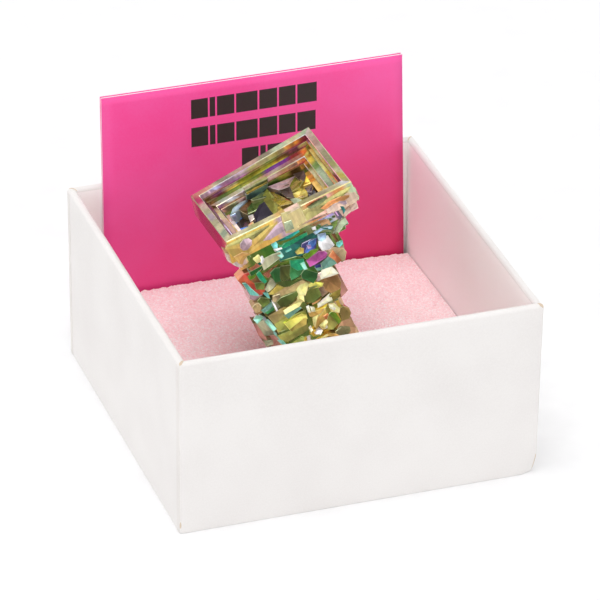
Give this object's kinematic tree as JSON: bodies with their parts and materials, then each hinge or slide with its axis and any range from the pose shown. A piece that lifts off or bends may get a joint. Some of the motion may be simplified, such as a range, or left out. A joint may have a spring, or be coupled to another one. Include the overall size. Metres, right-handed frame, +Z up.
{
  "type": "bismuth hopper crystal in a specimen box",
  "caption": "Stepped hopper crystal of iridescent bismuth standing in a foam pad, in a small open square card box with a leaning label card.",
  "frame": {"origin": "middle of the box's underside", "axes": "+Z up; +X along the front wall; +Y from the front wall to the back wall, where the card stands"},
  "size_m": [0.0604, 0.0604, 0.0472],
  "materials": {
    "bismuth": "mirror-bright native bismuth under a thin iridescent oxide film: gold, green, teal, magenta and violet by facet",
    "foam": "pale pink open-cell foam with a fine sparkling grain",
    "card": "bright pink satin card with pale cut edges and a plain black print",
    "board": "white paper wrap over board, matte"
  },
  "bodies": {
    "root": {"bismuth_crystal": "bismuth", "foam_pad": "foam", "label_card": "card", "specimen_box": "board"}
  },
  "joints": []
}
